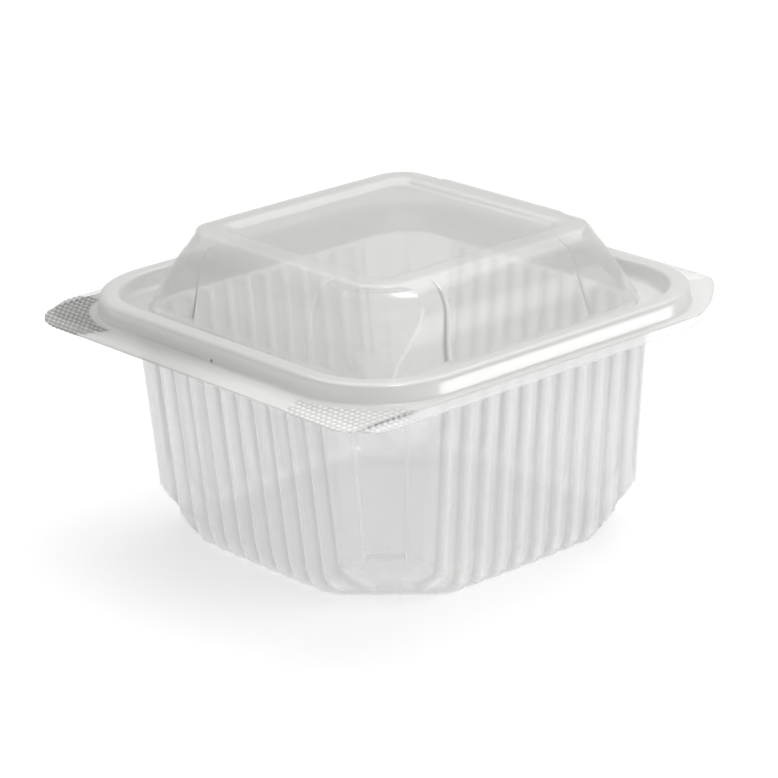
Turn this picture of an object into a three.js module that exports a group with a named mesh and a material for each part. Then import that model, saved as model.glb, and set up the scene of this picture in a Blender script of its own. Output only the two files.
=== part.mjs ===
// A square hinged takeaway container, thermoformed from one clear sheet: a fluted tub and a domed lid.
// Millimetres, +Z up. The front with the thumb tabs is -Y, the living hinge is +Y, the foot stands on Z = 0.
import * as THREE from "three";

// Driving dimensions
const SHEET = 0.36; // thickness of the formed sheet
const GAP = 0.3; // clearance between the tub and the lid where they nest

const TUB_HEIGHT = 62.3; // middle of the tub's flange above the table
const TUB_HALF_TOP = 57; // half width between the wall ends under the rim
const WALL_SLOPE = 0.098; // draft: how far a wall leans out for each millimetre up
const WALL_BOW = 1.3; // how far the middle of a wall stands out from the line between its ends
const WALL_STRAIGHT = 39; // half length of a wall between its corner faces
const FLOOR_HALF = 45;
const FLOOR_FILLET = [[2, 49.2], [6.5, 51.4]]; // height and half width of two rings of the floor's rounding
const FACET_HEIGHT = 15; // the corner faces turn inward below this height
const FACET_SLOPE = 0.88;
const FOOT_Z = SHEET / 2;
const FLOOR_PANEL_HALF = 36;
const FLOOR_PANEL_RISE = 1.4;

const FLUTES_PER_WALL = 10;
const FLUTE_PITCH = 6.7;
const FLUTE_DEPTH = 1.3;
const CORNER_PANEL_EDGES = [0.34, 0.39]; // inset panel of a corner face, as shares of the way round
const CORNER_PANEL_DEPTH = 0.8;
const CORNER_ROOM = 2; // least distance of a wall's end from the diagonal, where a cut shortens it

const BEAD_HEIGHT = 5.3; // height of the tub's rim bead above its flange
const BEAD_STRAIGHT = 38.5; // half length of the bead's straight runs, where its corner arcs are centred
const TUB_BEAD_HALF = 59.4; // half size of the inner wall of the tub's bead
const TUB_BEAD_WIDTH = 4.2;
const LID_BEAD_HALF = 58.4;
const LID_BEAD_WIDTH = 6;

const LID_FLANGE_Z = TUB_HEIGHT + SHEET + GAP;
const LID_TROUGH_Z = LID_FLANGE_Z + 0.15;
const LID_TOP_Z = 85.3; // crest of the rim round the top panel
const LID_PANEL_Z = 83.8;
const PANEL_HALF = 31.3;
const PANEL_RIM = 8.2; // width of that rim
const DOME_STRAIGHT = 22; // half width of the arched face on each side of the dome
const DOME_FACE_STEP = 0.8; // how far that face stands out of the corners beside it
const DOME_PROFILE = [ // height, half width across the faces and reach of the corners, from the top down
  [83.3, 43, 52.3],
  [81, 45.4, 54.8],
  [77.8, 46.1, 57.4],
  [71, 47.4, 61.8],
  [64.6, 48.8, 65.2],
];

const HINGE_AXIS = new THREE.Vector2(75.2, TUB_HEIGHT + (SHEET + GAP) / 2); // Y and Z of the fold
const HINGE_ROLL = 1.2; // height of the roll on each side of the fold

// Outlines of the two flanges. The tub's is wider, the lid's reaches further forward.
// The front corners have a radius each, left and right.
const TUB_FLANGE = { halfWidth: 70.8, front: 69.8, back: 74.9, rounds: [12, 5], sideEnd: 41, backHalf: 46 };
const LID_FLANGE = { halfWidth: 66.5, front: 75, back: 74.9, rounds: [12, 5], sideEnd: 48, backHalf: 46 };
const HINGE_CORNER_WEIGHT = 0.16;
const ROUND_WEIGHT = Math.SQRT1_2; // weight that makes the corner curve a true arc

// Columns of the sheet, counted round the part from the left end of the front wall.
// A wall column has u, its place along the wall; a corner column has v, its share of the way round.
function wallColumns(places) {
  return places.map(([u, ridge]) => ({ corner: false, u, ridge }));
}

function cornerColumns(places) {
  return places.map(([v, inset]) => ({ corner: true, v, inset }));
}

function roundTheSides(wall, corner) {
  const columns = [];
  for (let side = 0; side < 4; side += 1) {
    for (const column of wall) columns.push({ ...column, side });
    for (const column of corner) columns.push({ ...column, side });
  }
  return columns;
}

function tubColumns() {
  const places = [[-1, 1]];
  for (let i = 0; i <= 2 * FLUTES_PER_WALL; i += 1) {
    const along = (i / 2 - FLUTES_PER_WALL / 2) * FLUTE_PITCH;
    places.push([along / WALL_STRAIGHT, i % 2]);
  }
  places.push([1, 1]);
  const [near, far] = CORNER_PANEL_EDGES;
  const half = [[near / 2, 0], [near, 0], [far, 1]];
  const mirrored = half.map(([v, inset]) => [1 - v, inset]).reverse();
  return roundTheSides(wallColumns(places), cornerColumns([...half, [0.5, 1], ...mirrored]));
}

function lidColumns() {
  const edge = 0.94;
  const wall = [[-1, 0], [-edge, 1], [-0.5, 1], [0, 1], [0.5, 1], [edge, 1], [1, 0]];
  const corner = [1, 2, 3, 4, 5].map((i) => [i / 6, 0]);
  return roundTheSides(wallColumns(wall), cornerColumns(corner));
}

// Corner curve from start to end, pulled towards control by its weight.
function cornerCurve(start, control, end, weight, v) {
  const a = (1 - v) ** 2;
  const b = 2 * v * (1 - v) * weight;
  const c = v ** 2;
  const x = (a * start[0] + b * control[0] + c * end[0]) / (a + b + c);
  const y = (a * start[1] + b * control[1] + c * end[1]) / (a + b + c);
  return [x, y];
}

// Weight that carries the corner curve out to a reach along the diagonal.
function weightForReach(half, straight, reach) {
  const chord = (half + straight) / 2;
  const middle = reach * Math.SQRT1_2;
  return Math.max(0, (chord - middle) / (middle - half));
}

// Turns a point given along and out of the front wall to the wall's own side.
function turnToSide(along, out, side) {
  const angle = (side * Math.PI) / 2;
  return [
    along * Math.cos(angle) + out * Math.sin(angle),
    along * Math.sin(angle) - out * Math.cos(angle),
  ];
}

// One ring of the sheet: a level has z, half, straight, reach, and perhaps bow, relief, step, inset and cut.
function ring(columns, level) {
  const relief = level.relief ?? 0;
  const step = level.step ?? 0;
  const inset = level.inset ?? 0;
  const bow = level.bow ?? 0;
  const cut = (level.cut ?? Infinity) * Math.SQRT2;
  const end = Math.min(level.straight, cut / 2 - CORNER_ROOM);
  const edge = Math.min(level.half, cut - end);
  const weight = level.reach ? weightForReach(edge, end, level.reach) : 0;
  return columns.map((column) => {
    let along;
    let out;
    if (column.corner) {
      [along, out] = cornerCurve([end, edge], [edge, edge], [edge, end], weight, column.v);
      along -= inset * column.inset * Math.SQRT1_2;
      out -= inset * column.inset * Math.SQRT1_2;
    } else {
      along = Math.min(Math.max(column.u * level.straight, -end), end);
      out = level.half + bow * (1 - column.u ** 2);
      out += step * column.ridge - relief * (1 - column.ridge);
      out = Math.min(out, cut - Math.abs(along));
    }
    const [x, y] = turnToSide(along, out, column.side);
    return new THREE.Vector3(x, y, level.z);
  });
}

// Outline of a flange: square front corners for the tabs, cut corners beside the hinge.
function flangeEdge(columns, outline) {
  const { halfWidth, front, back, rounds, sideEnd, backHalf } = outline;
  const [left, right] = rounds;
  const straights = [
    [[left - halfWidth, -front], [halfWidth - right, -front]],
    [[halfWidth, right - front], [halfWidth, sideEnd]],
    [[backHalf, back], [-backHalf, back]],
    [[-halfWidth, sideEnd], [-halfWidth, left - front]],
  ];
  const controls = [[halfWidth, -front], [halfWidth, back], [-halfWidth, back], [-halfWidth, -front]];
  const weights = [ROUND_WEIGHT, HINGE_CORNER_WEIGHT, HINGE_CORNER_WEIGHT, ROUND_WEIGHT];
  return columns.map((column) => {
    const [start, end] = straights[column.side];
    if (!column.corner) {
      const share = (column.u + 1) / 2;
      return [start[0] + (end[0] - start[0]) * share, start[1] + (end[1] - start[1]) * share];
    }
    const next = straights[(column.side + 1) % 4][0];
    return cornerCurve(end, controls[column.side], next, weights[column.side], column.v);
  });
}

// Rings from the foot of the bead out to the flange's edge. The roll rises only along the hinge.
function flangeRings(columns, foot, outline, z, roll) {
  const edge = flangeEdge(columns, outline);
  const rows = [[0.4, 0], [0.6, 0.8], [0.8, 1], [1, 0]];
  return rows.map(([share, lift]) =>
    columns.map((column, i) => {
      const x = foot[i].x + (edge[i][0] - foot[i].x) * share;
      const y = foot[i].y + (edge[i][1] - foot[i].y) * share;
      const onHinge = column.side === 2 && !column.corner;
      return new THREE.Vector3(x, y, z + (onHinge ? roll * lift : 0));
    }),
  );
}

// Closes a sheet of constant thickness round its middle surface: a centre point and rings about it.
function sheetGeometry(centre, rings) {
  const count = rings[0].length;
  const middle = [centre, ...rings.flat()];
  const faces = [];
  for (let j = 0; j < count; j += 1) faces.push([0, 1 + j, 1 + ((j + 1) % count)]);
  for (let i = 0; i + 1 < rings.length; i += 1) {
    for (let j = 0; j < count; j += 1) {
      const k = (j + 1) % count;
      const a = 1 + i * count;
      const b = a + count;
      faces.push([a + j, b + j, b + k], [a + j, b + k, a + k]);
    }
  }
  const normals = middle.map(() => new THREE.Vector3());
  for (const [a, b, c] of faces) {
    const ab = middle[b].clone().sub(middle[a]);
    const normal = ab.cross(middle[c].clone().sub(middle[a]));
    for (const index of [a, b, c]) normals[index].add(normal);
  }
  const positions = [];
  for (const side of [0.5, -0.5]) {
    middle.forEach((point, i) => {
      const moved = normals[i].clone().normalize().multiplyScalar(side * SHEET).add(point);
      positions.push(moved.x, moved.y, moved.z);
    });
  }
  const below = middle.length;
  const indices = [];
  for (const [a, b, c] of faces) indices.push(a, b, c, below + a, below + c, below + b);
  const rim = 1 + (rings.length - 1) * count;
  for (let j = 0; j < count; j += 1) {
    const a = rim + j;
    const b = rim + ((j + 1) % count);
    indices.push(a, below + a, below + b, a, below + b, b);
  }
  const geometry = new THREE.BufferGeometry();
  geometry.setAttribute("position", new THREE.Float32BufferAttribute(positions, 3));
  geometry.setIndex(indices);
  geometry.computeVertexNormals();
  return geometry;
}

// Square level with true arcs of the given radius at its corners.
function rounded(z, half, radius) {
  return { z, half, straight: half - radius, reach: half * Math.SQRT2 - radius * (Math.SQRT2 - 1) };
}

// Levels over the rim's bead, from its inner wall to the flange outside it.
function beadLevels(half, width, start, flange) {
  const crest = flange + BEAD_HEIGHT;
  const profile = [
    [0, start],
    [0.4, crest - 0.6],
    [1.1, crest],
    [width - 1.2, crest],
    [width - 0.4, crest - 0.7],
    [width, flange + 0.4],
    [width + 0.7, flange],
  ];
  return profile.map(([out, z]) => rounded(z, half + out, half + out - BEAD_STRAIGHT));
}

// Tub
function tubWallHalf(z) {
  return TUB_HALF_TOP - (60 - z) * WALL_SLOPE;
}

function tubCornerReach(z) {
  const atFacet = (tubWallHalf(FACET_HEIGHT) + WALL_STRAIGHT) * Math.SQRT1_2;
  return atFacet - (FACET_HEIGHT - z) * FACET_SLOPE;
}

function tubGeometry() {
  const columns = tubColumns();
  const wall = { straight: WALL_STRAIGHT, bow: WALL_BOW, relief: FLUTE_DEPTH };
  const panelled = { ...wall, inset: CORNER_PANEL_DEPTH };
  const panelCut = FLOOR_PANEL_HALF * 1.12;
  const topOfFlutes = 58;
  const levels = [
    { z: FOOT_Z + FLOOR_PANEL_RISE, half: FLOOR_PANEL_HALF, straight: 22, cut: panelCut },
    { z: FOOT_Z, half: FLOOR_PANEL_HALF + 2, straight: 23, cut: panelCut + 2 },
    { ...wall, relief: 0, z: FOOT_Z, half: FLOOR_HALF, cut: tubCornerReach(FOOT_Z) },
    ...FLOOR_FILLET.map(([z, half]) => ({ ...wall, z, half, cut: tubCornerReach(z) })),
    { ...wall, z: FACET_HEIGHT, half: tubWallHalf(FACET_HEIGHT) },
    { ...panelled, z: FACET_HEIGHT + 1, half: tubWallHalf(FACET_HEIGHT + 1) },
    { ...panelled, z: topOfFlutes, half: tubWallHalf(topOfFlutes) },
    { ...wall, relief: 0, z: topOfFlutes + 2, half: tubWallHalf(topOfFlutes + 2) },
    ...beadLevels(TUB_BEAD_HALF, TUB_BEAD_WIDTH, TUB_HEIGHT - 0.3, TUB_HEIGHT),
  ];
  const rings = levels.map((level) => ring(columns, level));
  rings.push(...flangeRings(columns, rings.at(-1), TUB_FLANGE, TUB_HEIGHT, -HINGE_ROLL));
  return sheetGeometry(new THREE.Vector3(0, 0, FOOT_Z + FLOOR_PANEL_RISE), rings);
}

// Lid
function lidGeometry() {
  const columns = lidColumns();
  const dome = DOME_PROFILE.map(([z, half, reach]) => (
    { z, half, straight: DOME_STRAIGHT, reach, step: DOME_FACE_STEP }
  ));
  const levels = [
    rounded(LID_PANEL_Z, PANEL_HALF, 6),
    rounded(LID_TOP_Z - 0.5, PANEL_HALF + 2, 7.5),
    rounded(LID_TOP_Z, PANEL_HALF + 0.5 * PANEL_RIM, 9),
    rounded(LID_TOP_Z - 0.3, PANEL_HALF + PANEL_RIM, 11),
    ...dome,
    rounded(LID_TROUGH_Z, 51, 12),
    rounded(LID_TROUGH_Z, LID_BEAD_HALF - 1.2, 18),
    ...beadLevels(LID_BEAD_HALF, LID_BEAD_WIDTH, LID_TROUGH_Z + 1, LID_FLANGE_Z),
  ];
  const rings = levels.map((level) => ring(columns, level));
  rings.push(...flangeRings(columns, rings.at(-1), LID_FLANGE, LID_FLANGE_Z, HINGE_ROLL));
  return sheetGeometry(new THREE.Vector3(0, 0, LID_PANEL_Z), rings);
}

function clearPlastic(color) {
  return new THREE.MeshStandardMaterial({
    color,
    roughness: 0.18,
    metalness: 0,
    transparent: true,
    opacity: 0.35,
  });
}

const tub = new THREE.Mesh(tubGeometry(), clearPlastic(0xd6d7d4));
tub.name = "tub";

// The lid hangs in a group at the hinge, as it turns about that line.
const hinge = new THREE.Group();
hinge.position.set(0, HINGE_AXIS.x, HINGE_AXIS.y);
const lid = new THREE.Mesh(lidGeometry(), clearPlastic(0xcccdc8));
lid.name = "lid";
lid.position.copy(hinge.position).negate();
hinge.add(lid);

const container = new THREE.Group();
container.add(tub, hinge);

export default container;
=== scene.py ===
# %% [markdown]
# # A clear hinged takeaway container
# The real container is two trays of thin clear plastic, a fluted tub and a domed lid, drawn
# into moulds from one warm sheet and joined along one edge by a fold. It stands here empty and closed.
# It could be carved from blocks, but a drawn sheet is thin all over and has soft creases, so each
# tray is grown as one surface, ring by ring, and gets its wall at the end. A real sheet gets
# thinner towards the corners, which is left out here.
# Loading the imported model first gives the boxes of the tub and the lid.

# %% Load the imported model
import math

import bmesh
import bpy
from mathutils import Matrix, Vector
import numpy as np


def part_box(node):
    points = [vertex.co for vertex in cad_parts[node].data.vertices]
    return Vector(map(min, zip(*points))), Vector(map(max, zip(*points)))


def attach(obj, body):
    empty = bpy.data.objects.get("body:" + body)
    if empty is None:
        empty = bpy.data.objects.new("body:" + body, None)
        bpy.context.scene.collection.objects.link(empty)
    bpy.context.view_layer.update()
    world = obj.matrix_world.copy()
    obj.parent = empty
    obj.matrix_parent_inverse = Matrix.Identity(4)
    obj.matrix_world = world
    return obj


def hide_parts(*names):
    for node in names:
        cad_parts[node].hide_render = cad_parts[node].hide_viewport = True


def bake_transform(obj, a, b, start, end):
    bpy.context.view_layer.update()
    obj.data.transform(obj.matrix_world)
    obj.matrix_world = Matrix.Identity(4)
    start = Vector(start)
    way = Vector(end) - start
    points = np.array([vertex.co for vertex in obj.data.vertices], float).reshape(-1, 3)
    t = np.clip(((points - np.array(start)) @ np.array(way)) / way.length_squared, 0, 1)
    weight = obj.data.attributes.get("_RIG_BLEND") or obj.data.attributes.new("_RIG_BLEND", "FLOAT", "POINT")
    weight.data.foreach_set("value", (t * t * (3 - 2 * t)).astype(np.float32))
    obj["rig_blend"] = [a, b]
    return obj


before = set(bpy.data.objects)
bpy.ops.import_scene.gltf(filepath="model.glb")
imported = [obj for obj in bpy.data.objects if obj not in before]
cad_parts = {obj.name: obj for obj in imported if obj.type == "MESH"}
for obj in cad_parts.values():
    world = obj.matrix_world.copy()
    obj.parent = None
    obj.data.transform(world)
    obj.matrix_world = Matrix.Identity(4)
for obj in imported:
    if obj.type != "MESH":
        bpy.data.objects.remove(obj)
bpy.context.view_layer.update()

MM = 0.001
tub_low, tub_high = (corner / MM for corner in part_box("tub"))
lid_low, lid_high = (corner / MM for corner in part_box("lid"))
print("tub from", tuple(tub_low), "to", tuple(tub_high), "mm")
print("lid from", tuple(lid_low), "to", tuple(lid_high), "mm")

# %% [markdown]
# ## The camera
# The picture was taken from a little above, looking at the corner between the front with its
# thumb tabs and the right side, through a long lens that keeps the edges almost parallel.
# A camera could be aimed with a constraint. Its turn is worked out here from three angles instead,
# because the picture is also tilted a little.

# %% Set up the camera
CAMERA_AZIMUTH = math.radians(48.9)
CAMERA_ELEVATION = math.radians(19.8)
CAMERA_ROLL = math.radians(-1.88)
CAMERA_DISTANCE = 908.2 * MM
FOCAL_PIXELS = 3330
PICTURE_PIXELS = 778
SENSOR_WIDTH = 36
AIM_SIDEWAYS = -2.04 * MM
AIM_HEIGHT = 38.7 * MM

back = Vector((
    math.sin(CAMERA_AZIMUTH) * math.cos(CAMERA_ELEVATION),
    -math.cos(CAMERA_AZIMUTH) * math.cos(CAMERA_ELEVATION),
    math.sin(CAMERA_ELEVATION),
))
level_right = Vector((math.cos(CAMERA_AZIMUTH), math.sin(CAMERA_AZIMUTH), 0))
level_up = back.cross(level_right)
right = level_right * math.cos(CAMERA_ROLL) + level_up * math.sin(CAMERA_ROLL)
up = level_up * math.cos(CAMERA_ROLL) - level_right * math.sin(CAMERA_ROLL)
aim = level_right * AIM_SIDEWAYS + Vector((0, 0, AIM_HEIGHT))

camera_data = bpy.data.cameras.new("camera")
camera_data.sensor_width = SENSOR_WIDTH
camera_data.lens = FOCAL_PIXELS * SENSOR_WIDTH / PICTURE_PIXELS
camera = bpy.data.objects.new("camera", camera_data)
turn = Matrix((right, up, back)).transposed()
camera.matrix_world = Matrix.Translation(aim + back * CAMERA_DISTANCE) @ turn.to_4x4()
bpy.context.scene.collection.objects.link(camera)
bpy.context.scene.camera = camera
print("camera stands at", tuple(round(c, 3) for c in camera.location), "m")

# %% [markdown]
# ## Where a sheet's columns stand
# Going round a tray, the sheet passes four walls and four corners. Every ring of the mesh has the
# same columns: a wall column knows its place along its wall, a corner column its share of the way
# round. They could be spaced evenly, but a flute, a crease of the lid and the edge of an inset
# panel all need columns close together, and a plain wall doesn't.

# %% Spread columns round a tray
FRONT, RIGHT, BACK, LEFT = range(4)


def wall_columns(places):
    return [{"corner": False, "u": u} for u in places]


def corner_columns(shares):
    columns = []
    for share in shares:
        root = math.sqrt(share / (1 - share))
        columns.append({"corner": True, "v": root / (1 + root), "share": share})
    return columns


def both_halves(shares):
    return shares + [0.5] + [1 - share for share in reversed(shares)]


def round_the_sides(walls, corners):
    sides = (FRONT, RIGHT, BACK, LEFT)
    return [{**column, "side": side} for side in sides for column in walls + corners]


FLUTES_PER_WALL = 10
FLUTE_PITCH = 6.7
COLUMNS_PER_FLUTE = 6
WALL_STRAIGHT = 39
fluted_half = FLUTES_PER_WALL * FLUTE_PITCH / 2
flute_places = [
    (i / COLUMNS_PER_FLUTE * FLUTE_PITCH - fluted_half) / WALL_STRAIGHT
    for i in range(FLUTES_PER_WALL * COLUMNS_PER_FLUTE + 1)
]
wall_ends = [0.91, 0.955, 1]
tub_places = [-place for place in reversed(wall_ends)] + flute_places + wall_ends
tub_shares = [0.002, 0.01, 0.03, 0.07, 0.12, 0.165, 0.19, 0.205, 0.22, 0.235, 0.26, 0.31, 0.37, 0.44]
tub_columns = round_the_sides(wall_columns(tub_places), corner_columns(both_halves(tub_shares)))

# A run of 1 is a crease of the lid, and the runs after it go on to the end of the wall.
BEYOND = 0.3
plain_runs = [0, 0.13, 0.26, 0.39, 0.52, 0.65, 0.76, 0.85, 0.91]
crease_runs = [0.955, 0.975, 0.985, 0.995, 1.005, 1.015, 1.025, 1.045]
outer_runs = [1.08, 1.13, 1.18, 1.23, 1.27, 1.288, 1.296, 1.3]
half_runs = plain_runs + crease_runs + outer_runs
lid_runs = [-run for run in reversed(half_runs[1:])] + half_runs
lid_walls = [{"corner": False, "u": run / (1 + BEYOND), "run": run} for run in lid_runs]
lid_shares = [0.006, 0.015, 0.03, 0.055, 0.08, 0.12, 0.17, 0.23, 0.3, 0.37, 0.44]
lid_columns = round_the_sides(lid_walls, corner_columns(both_halves(lid_shares)))
print("columns round the tub:", len(tub_columns), "and round the lid:", len(lid_columns))

# %% [markdown]
# ## The shape of one ring
# Seen from above, a ring is a square whose corners are pulled in along a curve. A level says how
# high it lies, how wide it is, where its straight sides end and how far its corners reach. More
# values bow its sides out, press flutes or a corner panel in, step a face out or shift it, lift
# the back, and make a corner flat or cut it off. Drawing each ring by hand would be endless, so
# only a few levels are named, and the ones between them are worked out.

# %% Place the columns of a level
CORNER_ROOM = 2
NO_CUT = 400
HALF_ROOT = math.sqrt(0.5)
SHARP_WEIGHT = 40
FACE_HALF = 23
FACE_SHARE = 0.8
FACE_WIDENING = 2
WIDENING_HEIGHTS = (80, 64)
SHIFT_SIGNS = {FRONT: -1, RIGHT: 0, BACK: 1, LEFT: 0}
CREASE_WIDTH = 0.02
PLAIN_LEVEL = {"bow": 0, "relief": 0, "inset": 0, "step": 0, "shift": 0, "rise": 0, "arc": 1, "cut": NO_CUT}


def level(z, half, straight, reach=None, **more):
    if reach is None:
        reach = (half + straight) * HALF_ROOT
    return {"z": z, "half": half, "straight": straight, "reach": reach, **PLAIN_LEVEL, **more}


def rounded(z, half, radius):
    return level(z, half, half - radius, half * math.sqrt(2) - radius * (math.sqrt(2) - 1))


def corner_curve(start, control, end, weight, v):
    a = (1 - v) ** 2
    b = 2 * v * (1 - v) * weight
    c = v ** 2
    return [(a * s + b * m + c * e) / (a + b + c) for s, m, e in zip(start, control, end)]


def turn_to_side(along, out, side):
    return [(along, -out), (out, along), (-along, out), (-out, -along)][side]


def smooth(low, high, value):
    share = min(max((value - low) / (high - low), 0), 1)
    return share * share * (3 - 2 * share)


def wall_along(column, ring):
    if "run" not in column:
        return column["u"] * ring["straight"]
    widening = FACE_WIDENING * (column["side"] in (RIGHT, LEFT)) * smooth(*WIDENING_HEIGHTS, ring["z"])
    inner = min(FACE_HALF + widening, ring["straight"] * FACE_SHARE)
    run = abs(column["run"])
    beyond = max(run - 1, 0) / BEYOND
    along = math.copysign(inner * min(run, 1) + (ring["straight"] - inner) * beyond, column["run"])
    return along + ring["shift"] * (1 - beyond) * SHIFT_SIGNS[column["side"]]


def inside_face(column):
    return smooth(1 + CREASE_WIDTH, 1 - CREASE_WIDTH, abs(column["run"]))


def place_in_corner(column, ring, end, edge, inward):
    chord = (edge + end) / 2
    middle = min(ring["reach"], ring["cut"]) * HALF_ROOT
    weight = max(0, (chord - middle) / (middle - edge)) if middle < edge else SHARP_WEIGHT
    along, out = corner_curve((end, edge), (edge, edge), (edge, end), weight, column["v"])
    if ring["arc"] < 1:
        share = column["share"]
        swell = (middle - chord) * 4 * share * (1 - share)
        flat = (end + (edge - end) * share + swell, edge + (end - edge) * share + swell)
        along += (flat[0] - along) * (1 - ring["arc"])
        out += (flat[1] - out) * (1 - ring["arc"])
    return along - inward * HALF_ROOT, out - inward * HALF_ROOT


def place_column(column, ring, raised):
    cut = ring["cut"] * math.sqrt(2)
    end = min(ring["straight"], cut / 2 - CORNER_ROOM)
    edge = min(ring["half"], cut - end)
    if column["corner"]:
        along, out = place_in_corner(column, ring, end, edge, raised(column, end, ring))
    else:
        along = min(max(wall_along(column, ring), -end), end)
        out = ring["half"] + ring["bow"] * (1 - column["u"] ** 2)
        out -= raised(column, along, ring)
        out = min(out, cut - abs(along))
    x, y = turn_to_side(along, out, column["side"])
    z = ring["z"]
    if column["side"] == BACK and "run" in column:
        z += ring["rise"] * inside_face(column)
    return Vector((x, y, z))


# %% [markdown]
# ## The levels in between
# A formed sheet has no sharp fold: every crease is a small bend. A bevel on the finished mesh could
# round them, but it would break up the columns, so the levels are blended instead. A crease gets a
# few levels on a small curve, a plain stretch gets evenly spaced ones, and the bulging side of the
# dome gets one smooth curve through all its levels.

# %% Blend levels and round the creases between them
BEND_SHARE = 0.45


def between(first, second, share):
    return {key: first[key] + (second[key] - first[key]) * share for key in first}


def slant(first, second):
    return math.hypot(second["z"] - first["z"], second["half"] - first["half"])


def soften(levels, radius, steps=4):
    bent = [levels[0]]
    for before, here, after in zip(levels, levels[1:], levels[2:]):
        turn_in = between(here, before, min(BEND_SHARE, radius / slant(here, before)))
        turn_out = between(here, after, min(BEND_SHARE, radius / slant(here, after)))
        for step in range(steps + 1):
            t = step / steps
            bent.append(between(between(turn_in, here, t), between(here, turn_out, t), t))
    return bent + [levels[-1]]


def spread(levels, spacing):
    filled = [levels[0]]
    for first, second in zip(levels, levels[1:]):
        parts = max(1, math.ceil(slant(first, second) / spacing))
        filled += [between(first, second, part / parts) for part in range(1, parts + 1)]
    return filled


def fair(levels, spacing):
    filled = [levels[0]]
    ends = [between(levels[0], levels[1], -1)] + levels + [between(levels[-1], levels[-2], -1)]
    for before, first, second, after in zip(ends, ends[1:], ends[2:], ends[3:]):
        parts = max(1, math.ceil(slant(first, second) / spacing))
        for part in range(1, parts + 1):
            t = part / parts
            a = between(between(before, first, t + 1), between(first, second, t), (t + 1) / 2)
            b = between(between(first, second, t), between(second, after, t - 1), t / 2)
            filled.append(between(a, b, t))
    return filled


# %% [markdown]
# ## Growing a sheet
# The middle surface starts as a small filled circle in the floor of the tray. Its rim is extruded
# once for every level, and the new points are moved onto that level's ring, the way a tray is
# drawn out of a flat sheet. A lattice or a bent plane would crowd the corners, and this keeps
# one column of faces from the middle of the floor up to the edge of the flange. Every point also
# carries two painted values, a painted shade and a painted light, which the plastic reads later on.

# %% Grow a sheet ring by ring
def start_sheet(columns):
    mesh = bmesh.new()
    number = mesh.verts.layers.int.new("column")
    # Two painted values on every point: the first is painted shade, the second painted light.
    for name in ("painted_shade", "painted_light"):
        mesh.verts.layers.float.new(name)
    disc = bmesh.ops.create_circle(mesh, cap_ends=True, cap_tris=True, segments=len(columns), radius=1)
    rim = [vert for vert in disc["verts"] if vert.co.length > 0.5]
    rim.sort(key=lambda vert: math.atan2(vert.co.y, vert.co.x))
    for index, vert in enumerate(rim):
        vert[number] = index
    centre = next(vert for vert in disc["verts"] if vert.co.length < 0.5)
    return mesh, number, centre, rim


def grow_ring(mesh, number, rim, places, marks):
    # The first value is painted shade, the second painted light.
    painted_shade = mesh.verts.layers.float["painted_shade"]
    painted_light = mesh.verts.layers.float["painted_light"]
    edges = {edge for vert in rim for edge in vert.link_edges if edge.is_boundary}
    grown = bmesh.ops.extrude_edge_only(mesh, edges=list(edges))["geom"]
    new_rim = [item for item in grown if isinstance(item, bmesh.types.BMVert)]
    for vert in new_rim:
        vert.co = places[vert[number]]
        vert[painted_shade], vert[painted_light] = marks[vert[number]]
    return new_rim


def grow_sheet(columns, rings, marks):
    mesh, number, centre, rim = start_sheet(columns)
    for vert in rim:
        vert.co = rings[0][vert[number]]
    centre.co = Vector((0, 0, rings[0][0].z))
    unmarked = [(0, 0)] * len(columns)
    for index, places in enumerate(rings[1:], 1):
        rim = grow_ring(mesh, number, rim, places, marks[index] if index < len(marks) else unmarked)
    bmesh.ops.recalc_face_normals(mesh, faces=mesh.faces)
    return mesh


# %% [markdown]
# ## The rim and the flange
# Both trays end in a rolled bead and a flat flange. The two flanges are not the same outline: the
# tub's stands out at the sides and the lid's at the front, so that a thumb finds one of them at
# either corner. The outline could be a curve object, but it is worked out column by column, so the
# flange joins the bead without a seam.

# %% Shape the bead and the flange
SHEET = 0.36
GAP = 0.3
BEAD_HEIGHT = 5.3
BEAD_STRAIGHT = 37.3
TUB_FLANGE_Z = 62.3
LID_FLANGE_Z = TUB_FLANGE_Z + SHEET + GAP
HINGE_ROLL = 1.2
FLANGE_ROWS = 10
ROLL_UP = (0.35, 0.72)
ROLL_DOWN = (0.78, 1)
ROUND_WEIGHT = HALF_ROOT
HINGE_CORNER_WEIGHT = 0.18
tub_flange = {"x": 70.6, "front": 69.6, "back": 74.8, "rounds": (15, 5), "side_end": 41}
lid_flange = {"x": 66.5, "front": 74.8, "back": 74.8, "rounds": (14, 5), "side_end": 48}
HINGE_HALF = 46.3


def bead_levels(half, width, start, flange):
    crest = flange + BEAD_HEIGHT
    profile = [
        (0, start), (0.35, crest - 0.9), (0.9, crest - 0.05), (width - 1.5, crest),
        (width - 0.35, crest - 0.5), (width + 0.05, flange + 0.5), (width + 0.7, flange),
    ]
    return [rounded(z, half + out, half + out - BEAD_STRAIGHT) for out, z in profile]


def flange_edge(columns, shape):
    left, right_round = shape["rounds"]
    x, front, back_y = shape["x"], shape["front"], shape["back"]
    straights = [
        [(left - x, -front), (x - right_round, -front)],
        [(x, right_round - front), (x, shape["side_end"])],
        [(HINGE_HALF, back_y), (-HINGE_HALF, back_y)],
        [(-x, shape["side_end"]), (-x, left - front)],
    ]
    controls = [(x, -front), (x, back_y), (-x, back_y), (-x, -front)]
    weights = [ROUND_WEIGHT, HINGE_CORNER_WEIGHT, HINGE_CORNER_WEIGHT, ROUND_WEIGHT]
    places = []
    for column in columns:
        start, end = straights[column["side"]]
        if column["corner"]:
            onward = straights[(column["side"] + 1) % 4][0]
            control = controls[column["side"]]
            weight = weights[column["side"]]
            places.append(corner_curve(end, control, onward, weight, column["v"]))
        else:
            share = (column["u"] + 1) / 2
            places.append([s + (e - s) * share for s, e in zip(start, end)])
    return places


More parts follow.
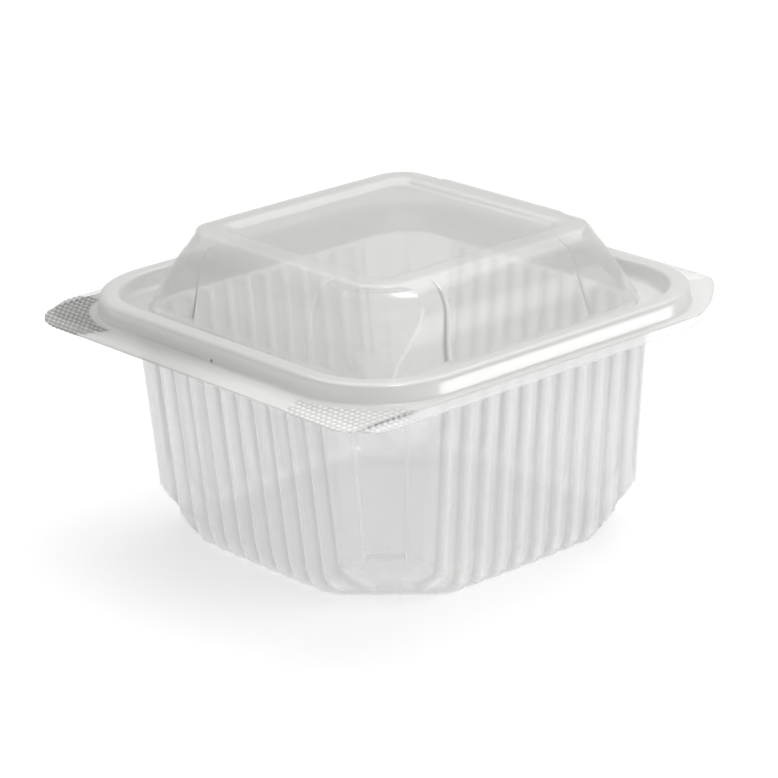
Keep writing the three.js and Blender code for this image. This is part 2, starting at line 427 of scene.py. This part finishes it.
def flange_rings(columns, foot, shape, z, roll):
    edge = flange_edge(columns, shape)
    rings = []
    for row in range(1, FLANGE_ROWS + 1):
        share = row / FLANGE_ROWS
        places = []
        for column, inner, outer in zip(columns, foot, edge):
            x = inner.x + (outer[0] - inner.x) * share
            y = inner.y + (outer[1] - inner.y) * share
            lift = 0
            if column["side"] == BACK and not column["corner"]:
                lift = roll * smooth(*ROLL_UP, share) * (1 - smooth(*ROLL_DOWN, share))
            places.append(Vector((x, y, z + lift)))
        rings.append(places)
    return rings


# %% [markdown]
# ## The tub
# Its walls lean out a little and bulge, and ten shallow flutes stiffen each of them. The corners
# are cut off flat, with an inset panel above and a slope that turns in towards the floor below.
# The flutes could be grooves cut by a boolean, but they fade out at both ends, so they are a wave
# that is taken off the wall's ring at each height. The thin light and dark lines that run along
# them in the picture are the light's work. They are painted here, and stay put in other views.

# %% Shape the tub's walls
TUB_HALF_TOP = 57
TUB_TOP_Z = 60
WALL_SLOPE = 0.098
WALL_BOW = 1.3
FLUTE_DEPTH = 1.3
FLUTE_TOP = 58
FACET_HEIGHT = 15
FACET_SLOPE = 0.88
FOOT_Z = SHEET / 2
FLOOR_HALF = 45
FLOOR_PANEL_HALF = 36
FLOOR_PANEL_RISE = 1.4
TUB_BEAD_HALF = 59.4
TUB_BEAD_WIDTH = 4.2
PANEL_DEPTH = 0.8
PANEL_SHARE = 0.285
PANEL_EDGE = 0.02
PANEL_FOOT = (15.4, 17)
PANEL_HEAD = (58, 56)
GROOVE_POWER = 1.15


def tub_wall_half(z):
    return TUB_HALF_TOP - (TUB_TOP_Z - z) * WALL_SLOPE


def tub_corner_reach(z):
    at_facet = (tub_wall_half(FACET_HEIGHT) + WALL_STRAIGHT) * HALF_ROOT
    return at_facet - max(0, FACET_HEIGHT - z) * FACET_SLOPE


def bump(middle, width, value):
    return smooth(width, 0, abs(value - middle))


def flute_phase(along):
    return math.cos(2 * math.pi * along / FLUTE_PITCH)


def fluted_share(along):
    return smooth(WALL_STRAIGHT - 1, fluted_half, abs(along))


def tub_relief(column, along, ring):
    z = ring["z"]
    if column["corner"]:
        from_middle = abs(column["share"] - 0.5)
        inside = smooth(PANEL_SHARE + PANEL_EDGE, PANEL_SHARE - PANEL_EDGE, from_middle)
        return ring["inset"] * inside * smooth(*PANEL_FOOT, z) * smooth(*PANEL_HEAD, z)
    groove = (0.5 + 0.5 * flute_phase(along)) ** GROOVE_POWER
    return ring["relief"] * groove * fluted_share(along)


# Painted light and shade on the tub: painted highlights along the foot, along one side of each flute, at the
# lower flute ends and on the edges of the corner panels, and a little on the ridges; painted shade in the
# grooves, a painted shadow of the flange that darkens the walls towards the top, and painted light on the
# lower walls.
LINE_POWER = 3
FOOT_LINE = {"strength": 0.7, "z": 0.45, "width": 0.5, "halves": (45.5, 46.5)}
PANEL_LINE = {"strength": 0.5, "foot": (14.5, 16)}
FLUTE_LINE = {"strength": 0.7, "place": 1 / 3, "width": 0.14}
FLUTE_END = {"strength": 0.5, "z": 5, "width": 3}
FLUTE_HEIGHTS = (1, 4)
GROOVE_PAINTED_SHADE = 0.5
RIDGE_PAINTED_LIGHT = 0.1
UPPER_PAINTED_SHADOW = {"strength": 0.2, "heights": (25, 58)}
LOW_PAINTED_LIGHT = {"strength": 0.12, "heights": (30, 5)}


# Each point of the tub gets its painted shade and its painted light here.
def tub_lines(column, ring):
    z = ring["z"]
    foot = FOOT_LINE["strength"] * bump(FOOT_LINE["z"], FOOT_LINE["width"], z)
    foot *= smooth(*FOOT_LINE["halves"], ring["half"])
    if column["corner"]:
        edge = bump(PANEL_SHARE, PANEL_EDGE, abs(column["share"] - 0.5))
        edge *= smooth(*PANEL_LINE["foot"], z) * smooth(*PANEL_HEAD, z)
        return 0, foot + PANEL_LINE["strength"] * edge
    along = column["u"] * WALL_STRAIGHT
    phase = flute_phase(along)
    fluted = fluted_share(along) * smooth(*FLUTE_HEIGHTS, z) * smooth(TUB_TOP_Z, FLUTE_TOP, z)
    groove = (0.5 + 0.5 * phase) ** LINE_POWER
    ridge = (0.5 - 0.5 * phase) ** LINE_POWER
    end = FLUTE_END["strength"] * ridge * bump(FLUTE_END["z"], FLUTE_END["width"], z)
    shade = UPPER_PAINTED_SHADOW["strength"] * smooth(*UPPER_PAINTED_SHADOW["heights"], z)
    light = LOW_PAINTED_LIGHT["strength"] * smooth(*LOW_PAINTED_LIGHT["heights"], z)
    line = bump(FLUTE_LINE["place"], FLUTE_LINE["width"], along / FLUTE_PITCH % 1)
    line *= FLUTE_LINE["strength"] * fluted
    painted_shade = shade + GROOVE_PAINTED_SHADE * groove * fluted
    return painted_shade, foot + end + light + line + RIDGE_PAINTED_LIGHT * ridge * fluted


def wall_level(z, half, relief=FLUTE_DEPTH, **more):
    cut = tub_corner_reach(z) if z < FACET_HEIGHT + 0.01 else NO_CUT
    return level(z, half, WALL_STRAIGHT, bow=WALL_BOW, relief=relief, cut=cut, **more)


panel_cut = FLOOR_PANEL_HALF * 1.12
floor_levels = [
    level(FOOT_Z + FLOOR_PANEL_RISE, 10, 6, cut=panel_cut),
    level(FOOT_Z + FLOOR_PANEL_RISE, FLOOR_PANEL_HALF, 22, cut=panel_cut),
    level(FOOT_Z, FLOOR_PANEL_HALF + 2, 23, cut=panel_cut + 2),
    level(FOOT_Z, FLOOR_HALF, WALL_STRAIGHT, bow=WALL_BOW, cut=tub_corner_reach(FOOT_Z)),
]
print("floor panel cut at", round(panel_cut, 1), "mm from the middle")

# %% [markdown]
# ## The tub's rings
# The rings are laid from the floor up: the raised floor panel, the round foot, the fluted walls,
# the rim bead and the flange. Their heights could be evenly spaced, but the foot and both ends of
# the corner panels bend more sharply than the walls do, so they get more rings.

# %% Grow the tub
FOOT_BEND = [(0.45, 46.9), (1.3, 48.6), (2.6, 49.9), (4.4, 50.8), (6.5, 51.4)]
FOOT_FADE = (-1, 2)
lower = soften(floor_levels, 0.8)
lower += [wall_level(z, half, relief=FLUTE_DEPTH * smooth(*FOOT_FADE, z)) for z, half in FOOT_BEND]
heights = [8.5, 10.5, 12.5, 14, 14.7, 15, 15.3, 16, 16.5, 17, 18.5]
heights += [21, 24, 27, 30, 33, 36, 39, 42, 45, 48, 51, 53.5, 55.5, 56.5, 57.2, 58]
walls = [wall_level(z, tub_wall_half(z), inset=PANEL_DEPTH) for z in heights]
tops = [
    wall_level(z, tub_wall_half(z), relief=FLUTE_DEPTH * smooth(TUB_TOP_Z, FLUTE_TOP, z))
    for z in (58.5, 59, 59.5, TUB_TOP_Z)
]
tub_bead = soften(bead_levels(TUB_BEAD_HALF, TUB_BEAD_WIDTH, TUB_FLANGE_Z - 0.3, TUB_FLANGE_Z), 0.5, 3)
tub_levels = spread(lower, 5) + walls + tops + tub_bead
tub_rings = [[place_column(c, ring, tub_relief) for c in tub_columns] for ring in tub_levels]
tub_rings += flange_rings(tub_columns, tub_rings[-1], tub_flange, TUB_FLANGE_Z, -HINGE_ROLL)
tub_marks = [[tub_lines(c, ring) for c in tub_columns] for ring in tub_levels]
tub_mesh = grow_sheet(tub_columns, tub_rings, tub_marks)
print("tub sheet:", len(tub_rings), "rings,", len(tub_mesh.faces), "faces")

# %% [markdown]
# ## The lid
# Its top is a flat panel sunk into a low rim. Each of its four sides is a face between two creases
# that stands out a little from the corners, and each corner has a flat face of its own. The
# creases could be cut with a knife, but they are soft, so the step at a crease follows from how
# far a column lies along its wall. In the picture the light draws some creases bright and others
# dark. These lines are painted here, each side with its own, and stay put in other views.

# %% Shape the lid's dome
LID_TOP_Z = 85.3
LID_PANEL_Z = 83.8
LID_TROUGH_Z = LID_FLANGE_Z + 0.15
PANEL_HALF = 31.3
PANEL_RIM = 8.2
LID_BEAD_HALF = 58.4
LID_BEAD_WIDTH = 6
FACE_STEP = 0.8
BACK_RISE = 0.25
FACE_SHIFT = 1.5
# Each row gives the height, the half width, the end of the straight side and the corner's reach.
DOME_PROFILE = [
    (83.6, 42.2, 29.5, 52.4),
    (81.9, 44.3, 30.2, 54),
    (79.6, 45.6, 30.5, 55.7),
    (77.8, 46.2, 31.3, 57.4),
    (75, 46.7, 33.5, 59.3),
    (71, 47.4, 37.7, 61.8),
    (67.5, 48.2, 41.8, 63.8),
    (64.6, 48.8, 44, 65.2),
]


def lid_relief(column, along, ring):
    if column["corner"]:
        return 0
    return -ring["step"] * inside_face(column)


DOME_FOOT = (64.4, 65.4)
DOME_HEAD = (84.4, 83.2)
DOME_WIDEST = 50
# Painted light along the top rim and low down in the trough and bead, and a painted highlight where the
# front corner face meets the right side.
RIM_LINE = {"strength": 0.15, "heights": (84.4, 85)}
TROUGH_LINE = {"strength": 0.2, "heights": (65, 64)}
DARK_LINE = {"run": 1.012, "width": 0.022}
LIGHT_LINE = {"run": 0.985, "width": 0.024, "heights": (82, 79)}
CORNER_LINE = {"run": -1.3, "width": 0.035, "share": 0.05, "heights": (80.5, 79)}

# For each side and each of its two creases: how much painted shade and how much painted highlight its line
# gets.
CREASE_LINES = {
    (FRONT, False): (0.8, 0), (FRONT, True): (0, 0.4),
    (RIGHT, False): (0.7, 1), (RIGHT, True): (0.4, 0),
    (BACK, False): (0.2, 0), (BACK, True): (0.2, 0),
    (LEFT, False): (0.2, 0), (LEFT, True): (0.2, 0),
}


# Each point of the lid gets its painted shade and its painted light here.
def lid_lines(column, ring):
    z = ring["z"]
    on_dome = smooth(*DOME_FOOT, z) * smooth(*DOME_HEAD, z) * (ring["half"] < DOME_WIDEST)
    rim = RIM_LINE["strength"] * smooth(*RIM_LINE["heights"], z)
    rim += TROUGH_LINE["strength"] * smooth(*TROUGH_LINE["heights"], z)
    at_height = smooth(*CORNER_LINE["heights"], z)
    if column["corner"]:
        line = bump(0, CORNER_LINE["share"], 1 - column["share"]) * (column["side"] == FRONT)
        return 0, rim + line * on_dome * at_height
    dark, light = CREASE_LINES[column["side"], column["run"] > 0]
    run = abs(column["run"])
    shade = dark * bump(DARK_LINE["run"], DARK_LINE["width"], run) * on_dome
    painted_light = light * bump(LIGHT_LINE["run"], LIGHT_LINE["width"], run) * smooth(*LIGHT_LINE["heights"], z)
    line = bump(CORNER_LINE["run"], CORNER_LINE["width"], column["run"]) * (column["side"] == RIGHT)
    return shade, rim + (painted_light + line * at_height) * on_dome


dome = [
    level(z, half, straight, reach, step=FACE_STEP, shift=FACE_SHIFT, arc=0)
    for z, half, straight, reach in DOME_PROFILE
]
dome[0]["rise"] = BACK_RISE
top_keys = [
    rounded(LID_PANEL_Z, 12, 4),
    rounded(LID_PANEL_Z, PANEL_HALF, 4.5),
    rounded(LID_TOP_Z - 0.25, PANEL_HALF + 2.2, 5),
    rounded(LID_TOP_Z, PANEL_HALF + 0.5 * PANEL_RIM, 6),
    {**rounded(LID_TOP_Z - 0.3, PANEL_HALF + PANEL_RIM, 7.5), "rise": BACK_RISE},
    dome[0],
]
trough_keys = [
    dome[-1],
    rounded(LID_TROUGH_Z, 50.6, 12),
    rounded(LID_TROUGH_Z, LID_BEAD_HALF - 1.2, 18),
    *bead_levels(LID_BEAD_HALF, LID_BEAD_WIDTH, LID_TROUGH_Z + 1, LID_FLANGE_Z),
]
lid_levels = spread(soften(top_keys, 1.1, 3), 1.1)
lid_levels += fair(dome, 0.8)[1:]
lid_levels += spread(soften(trough_keys, 0.6, 3), 1.4)[1:]
print("lid levels:", len(lid_levels))

# %% [markdown]
# ## The lid's rings
# They run from the middle of the top panel out over its rim, down the dome, through the trough and
# over the bead. The lid could be modelled flat and turned over, as it is formed, but it is made in
# its closed place, where its height over the tub can be read off.

# %% Grow the lid
lid_rings = [[place_column(c, ring, lid_relief) for c in lid_columns] for ring in lid_levels]
lid_rings += flange_rings(lid_columns, lid_rings[-1], lid_flange, LID_FLANGE_Z, HINGE_ROLL)
lid_marks = [[lid_lines(c, ring) for c in lid_columns] for ring in lid_levels]
lid_mesh = grow_sheet(lid_columns, lid_rings, lid_marks)
print("lid sheet:", len(lid_rings), "rings,", len(lid_mesh.faces), "faces")

# %% [markdown]
# ## Thumb tabs
# The two front corners of each flange carry a fine cross knurl for grip. A bump map would vanish
# at the edge, so the faces there are subdivided and really pressed up and down.

# %% Knurl the tabs
KNURL_PITCH = 1.95
KNURL_HEIGHT = 0.3
KNURL_SHARPNESS = 1.6
TAB_START = (38, 66)
TAB_SLANT = 0.5
TAB_FADE = 0.8
TAB_BACK = (-52.5, -54)
BEAD_CENTRE = 38.5
BEAD_RADIUS = 28
LEVEL_ENOUGH = 0.05


def on_tab(x, y):
    past_start = abs(x) - TAB_START[0] - (-y - TAB_START[1]) * TAB_SLANT
    past_bead = math.hypot(max(abs(x) - BEAD_CENTRE, 0), max(-y - BEAD_CENTRE, 0)) - BEAD_RADIUS
    return smooth(0, TAB_FADE, past_start) * smooth(0, TAB_FADE, past_bead) * smooth(*TAB_BACK, y)


def knurl_bump(x, y):
    across = math.cos(math.pi * x / KNURL_PITCH) ** 2
    along = math.cos(math.pi * y / KNURL_PITCH) ** 2
    return min(1, KNURL_SHARPNESS * across * along)


def is_tab_face(face, flange_z):
    middle = face.calc_center_median()
    return abs(middle.z - flange_z) < LEVEL_ENOUGH and on_tab(middle.x, middle.y) > 0


def knurl_tabs(mesh, flange_z):
    tab_faces = [face for face in mesh.faces if is_tab_face(face, flange_z)]
    edges = list({edge for face in tab_faces for edge in face.edges})
    bmesh.ops.subdivide_edges(mesh, edges=edges, cuts=3, use_grid_fill=True)
    for vert in mesh.verts:
        if abs(vert.co.z - flange_z) < LEVEL_ENOUGH and vert.co.y < 0:
            x, y = vert.co.x, vert.co.y
            vert.co.z += KNURL_HEIGHT * (knurl_bump(x, y) - 0.5) * on_tab(x, y)
    return len(tab_faces)


print("tub tab faces:", knurl_tabs(tub_mesh, TUB_FLANGE_Z))
print("lid tab faces:", knurl_tabs(lid_mesh, LID_FLANGE_Z))

# %% [markdown]
# ## Light on the rim and the tabs
# In the picture the rim of both trays is lighter than the walls, the flange turns darker towards
# the left, and the left tab's knurl is darker than the front one's. Better lamps might give this.
# Here it is painted into the same two values as the lines, so it too stays put in other views.

# %% Paint the rim and the tabs
# Painted light on both rims, taken off the left part of the flange, which instead gets painted shade growing
# towards the left; on the tabs, painted shade in the knurl's hollows, much darker on the left tab, and
# painted highlights on the bumps, faint on the left tab.
RIM_PAINTED_LIGHT = 0.4
RIM_FADE = 2
RIM_HEIGHTS = (-2, -1)
CORNER_ACROSS = 0.93
FLANGE_PAINTED_SHADE = 0.3
FLANGE_NEAR = (0.9, 0.4)
FLANGE_PLACES = (30, -20)
TAB_NEAR = 0.6
LEFT_TAB = {"painted_shade": 2.2, "painted_light": 0.05, "bare": 1}
FRONT_TAB = {"painted_shade": 0.9, "painted_light": 0.3, "bare": 0}


def paint_rim(mesh, inner_half, flange_z):
    painted_shade = mesh.verts.layers.float["painted_shade"]
    painted_light = mesh.verts.layers.float["painted_light"]
    low, high = (flange_z + height for height in RIM_HEIGHTS)
    for vert in mesh.verts:
        x, y, z = vert.co
        across = max(abs(x), abs(y), (abs(x) + abs(y)) * HALF_ROOT * CORNER_ACROSS)
        rim = smooth(inner_half, inner_half + RIM_FADE, across) * smooth(low, high, z)
        on_flange = smooth(*FLANGE_NEAR, abs(z - flange_z)) * smooth(*FLANGE_PLACES, x)
        vert[painted_light] = max(vert[painted_light], RIM_PAINTED_LIGHT * rim * (1 - on_flange))
        # Painted shade and painted highlights on the flange and the knurled tabs.
        if abs(z - flange_z) < TAB_NEAR:
            tab = LEFT_TAB if x < 0 else FRONT_TAB
            knurl = knurl_bump(x, y)
            share = on_tab(x, y)
            vert[painted_shade] = FLANGE_PAINTED_SHADE * on_flange + tab["painted_shade"] * (1 - knurl) * share
            vert[painted_light] *= 1 - tab["bare"] * share
            vert[painted_light] += tab["painted_light"] * knurl * share


paint_rim(tub_mesh, TUB_BEAD_HALF - RIM_FADE, TUB_FLANGE_Z)
paint_rim(lid_mesh, LID_BEAD_HALF - RIM_FADE, LID_FLANGE_Z)
print("painted values:", tub_mesh.verts.layers.float.keys())

# %% [markdown]
# ## From sheet to wall
# A drawn sheet of this kind is taken to be about a third of a millimetre thick, which can't be
# read off the picture. The wall could be a second, smaller surface, but a Solidify modifier gives
# both trays an even one about their middle surface and closes it round the edge of the flange.

# %% Give the sheets their wall
def make_piece(mesh, name, thickness):
    bmesh.ops.scale(mesh, vec=(MM, MM, MM), verts=mesh.verts)
    data = bpy.data.meshes.new(name)
    mesh.to_mesh(data)
    mesh.free()
    piece = bpy.data.objects.new(name, data)
    bpy.context.scene.collection.objects.link(piece)
    wall = piece.modifiers.new("wall", "SOLIDIFY")
    wall.thickness = thickness * MM
    wall.offset = 0
    return piece


def make_tray(mesh, name, node, body):
    piece = make_piece(mesh, name, SHEET)
    for polygon in piece.data.polygons:
        polygon.use_smooth = True
    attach(piece, body)
    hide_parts(node)
    return piece


tub = make_tray(tub_mesh, "fluted_tub", "tub", "tub")
lid = make_tray(lid_mesh, "domed_lid", "lid", "lid")
print("walls:", SHEET, "mm")

# %% [markdown]
# ## The fold
# Along the back the sheet runs on from tub to lid in one narrow fold. It bends as the lid opens,
# so it is a strip of its own that follows the tub at its lower edge and the lid at its upper one.

# %% Make the fold
FOLD_Y = 74.8
FOLD_SHEET = 0.2
fold_mesh = bmesh.new()
bmesh.ops.create_grid(fold_mesh, x_segments=40, y_segments=6, size=0.5)
fold_height = LID_FLANGE_Z - TUB_FLANGE_Z
for vert in fold_mesh.verts:
    across = vert.co.y
    vert.co = Vector((vert.co.x * 2 * HINGE_HALF, FOLD_Y, TUB_FLANGE_Z + (across + 0.5) * fold_height))
bmesh.ops.recalc_face_normals(fold_mesh, faces=fold_mesh.faces)
fold = make_piece(fold_mesh, "hinge_fold", FOLD_SHEET)
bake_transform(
    fold, "tub", "lid",
    start=(0, FOLD_Y * MM, TUB_FLANGE_Z * MM), end=(0, FOLD_Y * MM, LID_FLANGE_Z * MM),
)
print("fold:", 2 * HINGE_HALF, "mm long,", round(fold_height, 2), "mm high")

# %% [markdown]
# ## Clear plastic
# A thin clear sheet hardly bends the light that passes through it: it dims it a little, scatters
# some of it as haze and mirrors more and more of it towards its edges. A glass shader would bend
# light at both faces and need caustics to light the floor, so the sheet is a transparent surface
# with a share of haze and a Fresnel gloss instead.

# %% Add one part of a material
def add_node(tree, kind, inputs=None, **settings):
    node = tree.nodes.new("ShaderNode" + kind)
    for name, value in settings.items():
        setattr(node, name, value)
    for socket, value in (inputs or {}).items():
        if isinstance(value, bpy.types.NodeSocket):
            tree.links.new(value, node.inputs[socket])
        else:
            node.inputs[socket].default_value = value
    return node


def mix_colours(tree, share, first, second):
    mixed = add_node(tree, "Mix", {"Factor": share, "A": first, "B": second}, data_type="RGBA")
    return mixed.outputs["Result"]


def mix_shaders(tree, share, first, second):
    return add_node(tree, "MixShader", {0: share, 1: first, 2: second}).outputs[0]


# %% [markdown]
# ## The colour of the haze
# The painted shade makes the haze darker and the painted light makes it white, wherever they were
# painted. The lid's bead also carries one small grey speck on its front. An image could hold all
# this, but values on the points and a distance from one place need no unwrapping.

# %% Colour the haze
SPECK_PLACE = (1.76 * MM, -64.63 * MM, 63.83 * MM)
SPECK_RADIUS = 0.6 * MM
SPECK_CORE = 0.5
SPECK_GREY = (0.25, 0.25, 0.25, 1)
SHADE_DARKNESS = 0.5
WHITE = (1, 1, 1, 1)


def speck_mask(tree):
    place = add_node(tree, "TexCoord").outputs["Object"]
    apart = add_node(tree, "VectorMath", {0: place, 1: SPECK_PLACE}, operation="DISTANCE")
    fade = {
        "Value": apart.outputs["Value"],
        "From Min": SPECK_RADIUS,
        "From Max": SPECK_RADIUS * SPECK_CORE,
    }
    return add_node(tree, "MapRange", fade).outputs[0]


def haze_paint(tree, colour, painted_shade, painted_light, speck):
    # Painted shade darkens the haze colour and painted light turns it white.
    dark = (*(channel * SHADE_DARKNESS for channel in colour), 1)
    shaded = mix_colours(tree, painted_shade, (*colour, 1), dark)
    lit = mix_colours(tree, painted_light, shaded, WHITE)
    return mix_colours(tree, speck, lit, SPECK_GREY)


print("speck:", SPECK_RADIUS / MM, "mm in radius")

# %% [markdown]
# ## The sheet's own light
# The hazy share of the sheet scatters light to both sides, and the rest lets it through with a
# slight tint. A mirror share on top grows towards grazing angles. Light that crosses the wall meets
# two faces, the second from inside the plastic. That one stays empty, because one layer of haze
# stands for the whole thickness. Shadow rays meet a plain grey tint, which keeps the shadow light.

# %% Mix the plastic
HAZE_GAIN = 1.4
MARK_SHARE = 0.6
MIRROR_SHARES = (0.08, 0.25)
MIRROR_POWER = 5.0


def hazy_body(tree, tint, haze_colour, haze, facing):
    # Read each point's painted shade and painted light.
    painted_shade = add_node(tree, "Attribute", attribute_name="painted_shade").outputs["Fac"]
    painted_light = add_node(tree, "Attribute", attribute_name="painted_light").outputs["Fac"]
    speck = speck_mask(tree)
    paint = haze_paint(tree, haze_colour, painted_shade, painted_light, speck)
    scatter = add_node(tree, "BsdfDiffuse", {"Color": paint}).outputs[0]
    glow = add_node(tree, "BsdfTranslucent", {"Color": paint}).outputs[0]
    cloud = mix_shaders(tree, 0.5, scatter, glow)
    haze_range = {"Value": facing, "To Min": haze, "To Max": min(1, haze * HAZE_GAIN)}
    plain = add_node(tree, "MapRange", haze_range).outputs[0]
    # Both also make the haze thicker where they are painted.
    marks = add_node(tree, "Math", {0: painted_shade, 1: painted_light}, operation="ADD").outputs[0]
    marked = add_node(
        tree, "Math", {0: marks, 1: MARK_SHARE, 2: plain}, operation="MULTIPLY_ADD", use_clamp=True
    ).outputs[0]
    share = add_node(tree, "Math", {0: marked, 1: speck}, operation="MAXIMUM").outputs[0]
    through = add_node(tree, "BsdfTransparent", {"Color": (*tint, 1)}).outputs[0]
    return mix_shaders(tree, share, through, cloud)


def mirror_share(tree, facing):
    rise = add_node(tree, "Math", {0: facing, 1: MIRROR_POWER}, operation="POWER").outputs[0]
    shares = {"Value": rise, "To Min": MIRROR_SHARES[0], "To Max": MIRROR_SHARES[1]}
    return add_node(tree, "MapRange", shares).outputs[0]


def clear_plastic(name, tint, haze_colour, haze, gloss_roughness, shade):
    material = bpy.data.materials.new(name)
    material.use_nodes = True
    tree = material.node_tree
    tree.nodes.clear()
    facing = add_node(tree, "LayerWeight", {"Blend": 0.5}).outputs["Facing"]
    body = hazy_body(tree, tint, haze_colour, haze, facing)
    gloss = add_node(tree, "BsdfGlossy", {"Roughness": gloss_roughness}).outputs[0]
    face = mix_shaders(tree, mirror_share(tree, facing), body, gloss)
    inner = add_node(tree, "BsdfTransparent").outputs[0]
    back_side = add_node(tree, "NewGeometry").outputs["Backfacing"]
    surface = mix_shaders(tree, back_side, face, inner)
    passing = add_node(tree, "BsdfTransparent", {"Color": (shade, shade, shade, 1)}).outputs[0]
    shadow_ray = add_node(tree, "LightPath").outputs["Is Shadow Ray"]
    lit = mix_shaders(tree, shadow_ray, surface, passing)
    add_node(tree, "OutputMaterial", {"Surface": lit})
    return material


TINT = (0.93, 0.93, 0.93)
TUB_HAZE = (0.84, 0.84, 0.84)
LID_HAZE = (0.69, 0.695, 0.665)
tub_plastic = clear_plastic(
    "clear_tub_plastic", TINT, TUB_HAZE, haze=0.28, gloss_roughness=0.2, shade=0.7
)
lid_plastic = clear_plastic(
    "clear_lid_plastic", TINT, LID_HAZE, haze=0.52, gloss_roughness=0.22, shade=0.82
)
tub.data.materials.append(tub_plastic)
lid.data.materials.append(lid_plastic)
fold.data.materials.append(lid_plastic)
print("materials:", tub_plastic.name, lid_plastic.name)

# %% [markdown]
# ## The table
# The picture is a product shot on white: the table is so bright that only the soft shadow under
# the tub is left of it. A white world alone would show no shadow, so the table is a real plane,
# and it also shines a little by itself.

# %% Lay the table
TABLE_HALF = 6
TABLE_DROP = 0.2 * MM
TABLE_WHITE = (0.8, 0.8, 0.8, 1)
TABLE_GLOW = 0.25
table_data = bpy.data.meshes.new("table")
table_mesh = bmesh.new()
bmesh.ops.create_grid(table_mesh, x_segments=1, y_segments=1, size=TABLE_HALF)
table_mesh.to_mesh(table_data)
table_mesh.free()
table = bpy.data.objects.new("table", table_data)
bpy.context.scene.collection.objects.link(table)
table.location.z = -TABLE_DROP
table_paint = bpy.data.materials.new("white_table")
table_paint.use_nodes = True
paint = table_paint.node_tree.nodes["Principled BSDF"]
paint.inputs["Base Color"].default_value = TABLE_WHITE
paint.inputs["Emission Color"].default_value = WHITE
paint.inputs["Emission Strength"].default_value = TABLE_GLOW
paint.inputs["Roughness"].default_value = 0.8
paint.inputs["Specular IOR Level"].default_value = 0.0
table.data.materials.append(table_paint)
print("table:", 2 * TABLE_HALF, "m wide")

# %% [markdown]
# ## The lamps
# A wide softbox, high up and a little behind, lights the whole box evenly, and a weaker one at the
# right adds light to that side. The right one isn't mirrored, because its image would be a hard
# patch on the dome. A low strip and a small lamp overhead are only mirrored: they give the shine
# on the right and on the bead. One big lamp would be simpler, but its shine can't be placed apart
# from its light.

# %% Hang the lights
WORLD_LIGHT = 0.57


def add_light(name, place, size, power):
    data = bpy.data.lights.new(name, "AREA")
    data.shape = "RECTANGLE"
    data.size, data.size_y = size
    data.energy = power
    light = bpy.data.objects.new(name, data)
    light.location = place
    light.rotation_euler = (aim - Vector(place)).to_track_quat("-Z", "Y").to_euler()
    bpy.context.scene.collection.objects.link(light)
    return light


add_light("top_softbox", place=(-0.3, 0.45, 1.2), size=(1.3, 1.3), power=11)
right_softbox = add_light("right_softbox", place=(0.52, 0.1, 0.42), size=(0.5, 0.5), power=1.4)
right_softbox.visible_glossy = False
right_strip = add_light("right_strip", place=(0.215, 0.125, 0.025), size=(0.2, 0.045), power=0.16)
right_strip.visible_diffuse = False
front_sparkle = add_light("front_sparkle", place=(0.25, -0.05, 1.05), size=(0.14, 0.14), power=2)
front_sparkle.visible_diffuse = False

world = bpy.data.worlds.new("studio")
bpy.context.scene.world = world
world.use_nodes = True
background = world.node_tree.nodes["Background"]
background.inputs["Color"].default_value = WHITE
background.inputs["Strength"].default_value = WORLD_LIGHT
bpy.context.scene.view_settings.view_transform = "Standard"
cycles = bpy.context.scene.cycles
cycles.transparent_max_bounces = 48
cycles.max_bounces = 12
cycles.caustics_reflective = False
cycles.caustics_refractive = False
print("lights are hung")
